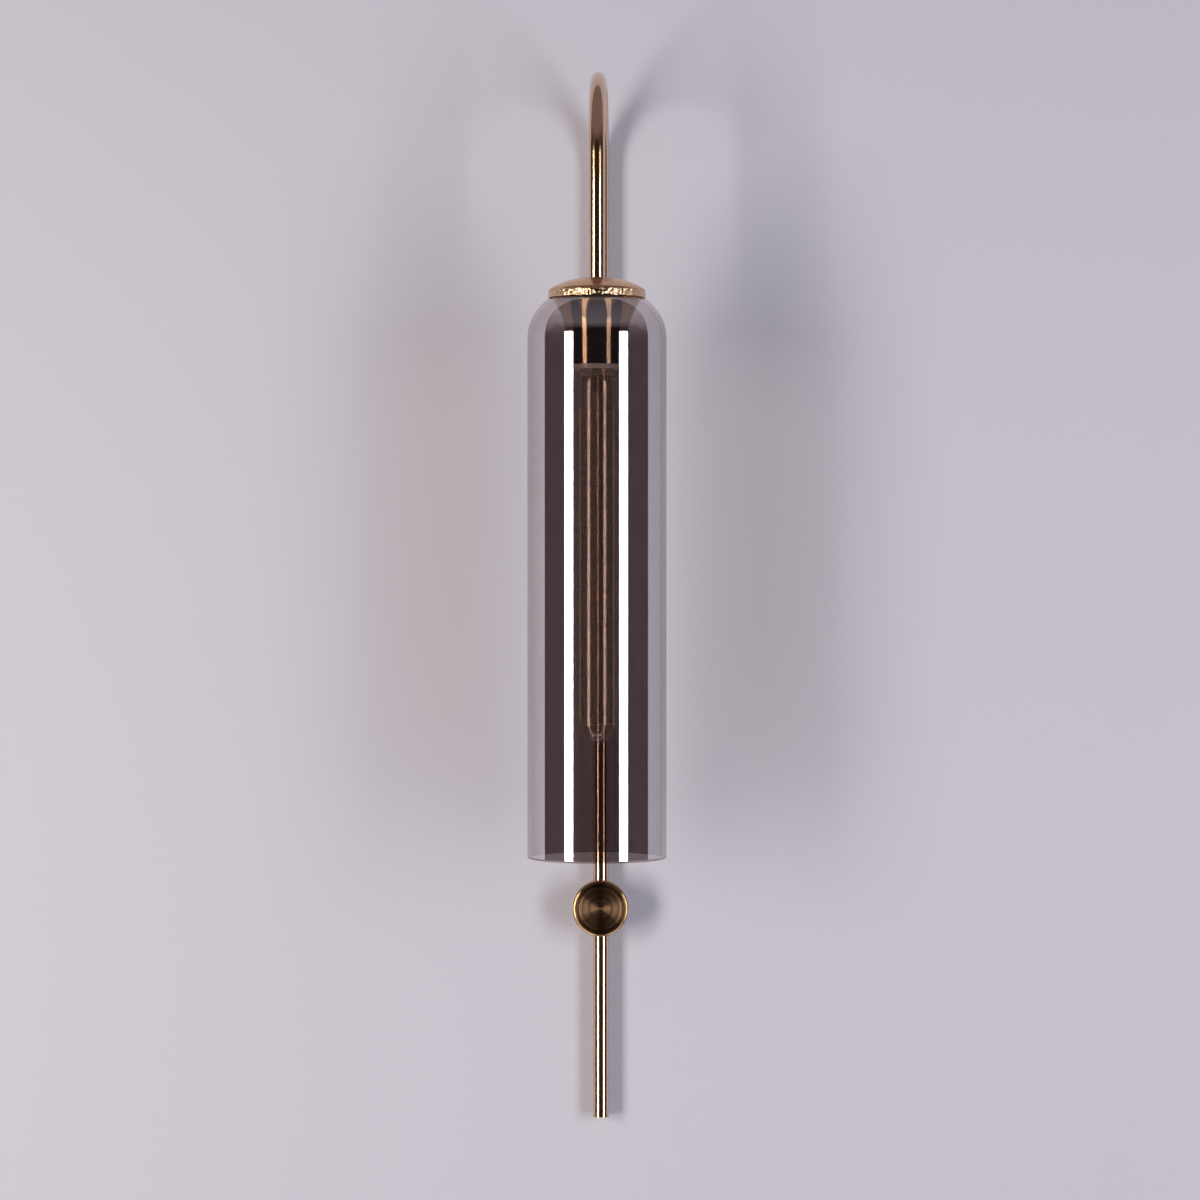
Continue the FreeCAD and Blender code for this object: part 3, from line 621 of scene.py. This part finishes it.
def strip_lamp(name, side, power, color):
    lamp = area_lamp(name, STRIP_WIDTH, STRIP_TOP - STRIP_FOOT, power, color)
    turn = side * STRIP_AZIMUTH
    lamp.location = around_shade(STRIP_DISTANCE, (STRIP_TOP + STRIP_FOOT) / 2, turn)
    lamp.rotation_euler = (QUARTER_TURN, 0, turn)


def low_panel(name, side, power, color):
    """Sheet that goes on inwards from a strip's foot, seen only in polished surfaces."""
    across = STRIP_DISTANCE - PANEL_END_DISTANCE
    down = STRIP_FOOT - PANEL_END_HEIGHT
    lamp = area_lamp(name, STRIP_WIDTH * PANEL_WIDTH_SHARE, math.hypot(across, down), power, color)
    turn = side * STRIP_AZIMUTH
    lamp.location = around_shade((STRIP_DISTANCE + PANEL_END_DISTANCE) / 2,
                                 (STRIP_FOOT + PANEL_END_HEIGHT) / 2, turn)
    lamp.rotation_euler = (QUARTER_TURN + math.atan2(across, down), 0, turn)
    lamp.visible_diffuse = False
    lamp.visible_transmission = False


def studio_light():
    strip_lamp("left_strip", -1, LEFT_STRIP_POWER, LEFT_STRIP_COLOR)
    strip_lamp("right_strip", 1, RIGHT_STRIP_POWER, COOL_LIGHT)
    low_panel("left_panel", -1, LEFT_PANEL_POWER, LEFT_PANEL_COLOR)
    low_panel("right_panel", 1, RIGHT_PANEL_POWER, COOL_LIGHT)
    fill = area_lamp("soft_fill", FILL_SIZE, FILL_SIZE, FILL_POWER, FILL_COLOR)
    fill.location = FILL_PLACE
    fill.rotation_euler = (QUARTER_TURN, 0, math.atan2(FILL_PLACE[0], -FILL_PLACE[1]))
    fill.visible_glossy = False
    fill.visible_transmission = False


def room():
    """Pale where the camera looks past the set, plain light from all sides for matt surfaces, and
    for what metal and glass reflect, dark towards the camera with a brighter ceiling."""
    world = bpy.data.worlds.new("room")
    world.use_nodes = True
    tree = world.node_tree
    tree.nodes.clear()

    def background(color, strength=1.0):
        node = tree.nodes.new("ShaderNodeBackground")
        node.inputs["Color"].default_value = (*color, 1.0)
        node.inputs["Strength"].default_value = strength
        return node.outputs[0]

    def mixed(share, first, second):
        node = tree.nodes.new("ShaderNodeMixShader")
        for socket, source in zip(node.inputs, (share, first, second)):
            tree.links.new(source, socket)
        return node.outputs[0]

    def rising(value, start, end):
        node = tree.nodes.new("ShaderNodeMapRange")
        tree.links.new(value, node.inputs["Value"])
        node.inputs["From Min"].default_value = start
        node.inputs["From Max"].default_value = end
        return node.outputs[0]

    def combined(operation, first, second):
        node = tree.nodes.new("ShaderNodeMath")
        node.operation = operation
        tree.links.new(first, node.inputs[0])
        tree.links.new(second, node.inputs[1])
        return node.outputs[0]

    direction = tree.nodes.new("ShaderNodeSeparateXYZ")
    tree.links.new(tree.nodes.new("ShaderNodeTexCoord").outputs["Generated"], direction.inputs[0])
    depth, height = direction.outputs[1], direction.outputs[2]
    behind = combined("MULTIPLY", rising(height, *CEILING_RISE_BEHIND), rising(depth, *BEHIND))
    ceiling = combined("MAXIMUM", rising(height, *CEILING_RISE), behind)
    path = tree.nodes.new("ShaderNodeLightPath")
    reflected = mixed(ceiling, background(DARK_ROOM), background(CEILING))
    lit = mixed(path.outputs["Is Diffuse Ray"], reflected, background(ROOM_LIGHT_COLOR, ROOM_LIGHT))
    unreflected = tree.nodes.new("ShaderNodeMath")
    unreflected.operation = "LESS_THAN"
    unreflected.inputs[1].default_value = 0.5
    tree.links.new(path.outputs["Glossy Depth"], unreflected.inputs[0])
    through = combined("MULTIPLY", path.outputs["Is Transmission Ray"], unreflected.outputs[0])
    seen = combined("MAXIMUM", path.outputs["Is Camera Ray"], through)
    output = tree.nodes.new("ShaderNodeOutputWorld")
    tree.links.new(mixed(seen, lit, background(PALE_ROOM)), output.inputs["Surface"])
    bpy.context.scene.world = world


def camera():
    data = bpy.data.cameras.new("camera")
    data.sensor_width = SENSOR_WIDTH
    data.lens = SENSOR_WIDTH * FOCAL_LENGTH_PX / FRAME_WIDTH_PX
    data.clip_start = CAMERA_NEAREST
    data.clip_end = CAMERA_FARTHEST
    thing = link("camera", data)
    thing.location = CAMERA_PLACE
    thing.rotation_euler = (QUARTER_TURN + CAMERA_PITCH, 0, CAMERA_YAW)
    bpy.context.scene.camera = thing


camera()
finishes()
studio_surfaces()
studio_light()
room()
bpy.context.scene.view_settings.view_transform = "Standard"
